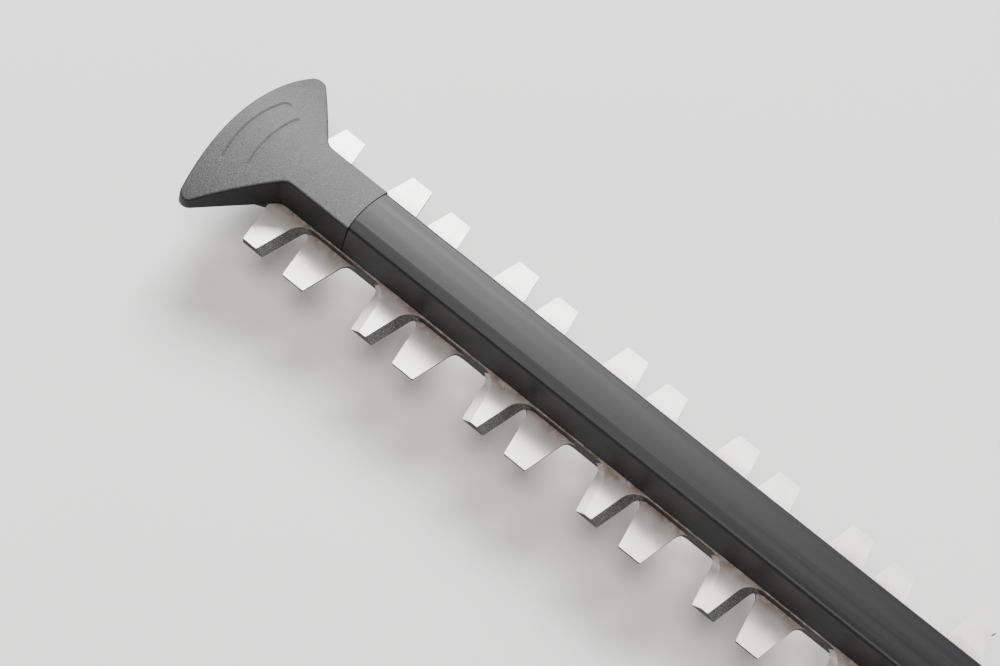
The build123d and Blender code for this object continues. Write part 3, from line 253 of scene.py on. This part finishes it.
def guard_finish():
    """Black moulding with a fine sand texture, painted paler where it faces up as a painted sheen."""
    black, sheen_dark, sheen_light = (0.006, 0.006, 0.0065), (0.040, 0.040, 0.042), (0.140, 0.140, 0.145)
    sheen_cloud = (0.065, 0.065, 0.067)
    s = Shader("guard_grain")
    grain = s.noise(0.00042, 2.0, 0.7)
    pits = s.cells(0.0006)
    mottle = s.noise(0.014, 3.0, 0.5)
    # painted sheen: faces that point up get a paler colour, standing in for the sky's reflection
    painted_sheen_mask = s.spread(s.facing("Z"), 0.55, 0.95)
    pale = s.mix(s.spread(grain, 0.36, 0.66), sheen_dark, sheen_light)
    pale = s.mix(s.fit(mottle, 0.35, 0.7, 0.0, 0.25), pale, sheen_cloud)
    s.set("Base Color", s.mix(painted_sheen_mask, black, pale))
    s.set("Roughness", s.fit(grain, 0.3, 0.7, 0.50, 0.66))
    s.set("Specular IOR Level", 0.30)
    s.bump(s.plus(grain, s.times(pits, 0.7)), 0.00005, s.rounded(0.0005))
    return s.material


def rubber():
    """Dull soft rubber with a fine tight texture."""
    black = (0.02, 0.02, 0.021)
    s = Shader("soft_rubber_grain")
    s.set("Base Color", s.mix(s.spread(s.noise(0.012, 4.0), 0.35, 0.7), black, shade(black, 2.2)))
    s.set("Roughness", s.fit(s.noise(0.004, 4.0), 0.3, 0.7, 0.68, 0.85))
    s.bump(s.cells(0.0011), 0.00012, s.rounded(0.0005))
    return s.material


def felt():
    """Pressed wool with tangled fibres."""
    s = Shader("felt_fibres")
    fibre = s.noise(0.0009, 6.0, 0.85, s.stretch(1.0, 0.3, 1.0), distort=1.2)
    s.set("Base Color", s.ramp(fibre, (0.3, (0.42, 0.38, 0.30)), (0.7, (0.80, 0.77, 0.68))))
    s.set("Roughness", 0.95)
    s.set("Sheen Weight", 0.4)
    s.bump(fibre, 0.0004)
    return s.material


def board():
    """Green solder mask with faint tracks."""
    s = Shader("board_mask")
    tracks = s.tree.nodes.new("ShaderNodeTexBrick")
    s.link(s.place, tracks.inputs["Vector"])
    tracks.inputs["Scale"].default_value = 180.0
    tracks.inputs["Mortar Size"].default_value = 0.03
    for name, green in (("Color1", (0.012, 0.10, 0.04)), ("Color2", (0.015, 0.13, 0.05)),
                        ("Mortar", (0.05, 0.30, 0.12))):
        s.link(green, tracks.inputs[name])
    uneven = s.fit(s.noise(0.01, 3.0), 0.3, 0.7, 0.0, 0.3)
    s.set("Base Color", s.mix(uneven, tracks.outputs["Color"], (0.01, 0.06, 0.03)))
    s.set("Roughness", s.fit(s.noise(0.003, 3.0), 0.3, 0.7, 0.22, 0.40))
    s.bump(tracks.outputs["Fac"], 0.00005, strength=0.6)
    return s.material


def lamp():
    """Milky light pipe."""
    s = Shader("lamp_lens")
    s.set("Base Color", s.ramp(s.noise(0.002, 3.0), (0.3, (0.25, 0.62, 0.28)), (0.7, (0.45, 0.80, 0.45))))
    s.set("Roughness", s.fit(s.noise(0.001, 3.0), 0.3, 0.7, 0.15, 0.30))
    s.set("Transmission Weight", 0.25)
    s.set("IOR", 1.45)
    s.bump(s.noise(0.0006, 2.0), 0.00001)
    return s.material


finishes = {
    "blade_steel": blade_steel(),
    "cover_plastic": cover_finish(),
    "guard_plastic": guard_finish(),
    "shell_plastic": plastic("shell_grain", (0.045, 0.048, 0.050)),
    "accent_plastic": plastic("accent_grain", (0.62, 0.13, 0.015), rough=0.42, dust=0.15),
    "black_plastic": plastic("black_grain", (0.016, 0.016, 0.017), rough=0.45),
    "soft_rubber": rubber(),
    "felt": felt(),
    "cast_alloy": metal("cast_skin", (0.55, 0.55, 0.56), 0.48, grain=0.0009, edge=0.0006, depth=0.00006),
    "bar_steel": metal("rolled_steel", (0.40, 0.40, 0.41), 0.42, streak=(1 / 30, 1.0, 1.0)),
    "zinc_steel": metal("zinc_plate", (0.62, 0.61, 0.58), 0.34, stain=(0.35, 0.33, 0.28)),
    "gear_steel": metal("sintered_steel", (0.34, 0.34, 0.36), 0.38, stain=(0.14, 0.10, 0.06)),
    "spring_steel": metal("drawn_wire", (0.55, 0.55, 0.57), 0.28, streak=(1.0, 1.0, 2 / 15)),
    "magnet": metal("magnet_skin", (0.10, 0.10, 0.11), 0.55, metallic=0.4, depth=0.00003),
    "can_steel": metal("can_zinc", (0.58, 0.59, 0.60), 0.30, streak=(1.0, 1.0, 1 / 20)),
    "copper": metal("copper_wire", (0.62, 0.27, 0.12), 0.30, streak=(1.0, 1.0, 1 / 30),
                    stain=(0.20, 0.08, 0.04)),
    "carbon": metal("pressed_carbon", (0.06, 0.06, 0.06), 0.60, metallic=0.3, depth=0.00004),
    "board": board(),
    "cable": plastic("wire_jacket", (0.40, 0.02, 0.02), rough=0.40, dust=0.0),
    "contact_brass": metal("contact_plate", (0.74, 0.56, 0.26), 0.26, stain=(0.40, 0.25, 0.10)),
    "cell_sleeve": plastic("cell_shrink", (0.06, 0.20, 0.42), rough=0.28, dust=0.0, depth=0.00001),
    "lamp": lamp(),
}

for part in frame["record"]["subparts"]:
    shown = nodes[part["node"]]
    shown.data.materials.clear()
    shown.data.materials.append(finishes[part["material_slot"]])

# ---------------------------------------------------------------- camera, floor and light

camera_place = (0.17412, 0.43162, 0.68849)
sight = Vector((0.1764, -0.54036, -0.82274)).normalized()
right = Vector((-0.7697, -0.5967, 0.2269)).normalized()
above = right.cross(sight)
turn = Matrix((right, above, -sight)).transposed()
camera = bpy.data.objects.new("camera", bpy.data.cameras.new("camera"))
camera.data.lens = 82.8
camera.data.sensor_width = 36.0
camera.matrix_world = Matrix.Translation(camera_place) @ turn.to_4x4()
bpy.context.scene.collection.objects.link(camera)
bpy.context.scene.camera = camera

floor_reach = 30
floor_drop = 0.0002  # keeps the lowest faces clear of the floor
corners = [(-1, -1), (1, -1), (1, 1), (-1, 1)]
floor_mesh = bpy.data.meshes.new("floor")
floor_mesh.from_pydata([(x * floor_reach, y * floor_reach, 0) for x, y in corners], [], [(0, 1, 2, 3)])
floor = bpy.data.objects.new("floor", floor_mesh)
floor.location.z = -floor_drop
bpy.context.scene.collection.objects.link(floor)
floor_paint = Shader("floor_paint")
floor_paint.set("Base Color", floor_paint.ramp(
    floor_paint.noise(0.4, 3.0), (0.3, (0.74, 0.74, 0.73)), (0.7, (0.78, 0.78, 0.77))))
floor_paint.set("Roughness", 0.85)
floor.data.materials.append(floor_paint.material)

world = bpy.data.worlds.new("studio")
bpy.context.scene.world = world
world.use_nodes = True
world.node_tree.nodes["Background"].inputs["Color"].default_value = (0.93, 0.96, 1.0, 1.0)
world.node_tree.nodes["Background"].inputs["Strength"].default_value = 0.22


def softbox(name, place, target, width, height, watts, colour=(1.0, 1.0, 1.0)):
    """Rectangular area light aimed at a point."""
    lamp_data = bpy.data.lights.new(name, "AREA")
    lamp_data.shape = "RECTANGLE"
    lamp_data.size, lamp_data.size_y, lamp_data.energy = width, height, watts
    lamp_data.color = colour
    light = bpy.data.objects.new(name, lamp_data)
    light.location = place
    light.rotation_mode = "QUATERNION"
    light.rotation_quaternion = (Vector(target) - Vector(place)).to_track_quat("-Z", "Y")
    bpy.context.scene.collection.objects.link(light)


warm = (1.0, 0.965, 0.935)
softbox("far_sky", (1.35, -1.55, 1.65), target=(0.25, 0, 0.03), width=1.5, height=1.0, watts=150.0)
softbox("near_sky", (0.3, 0.75, 2.3), target=(0.2, 0, 0.03), width=1.3, height=1.0, watts=46.0, colour=warm)
softbox("tip_side", (2.2, 0.4, 0.9), target=(0.3, 0, 0.03), width=1.0, height=0.8, watts=12.0)
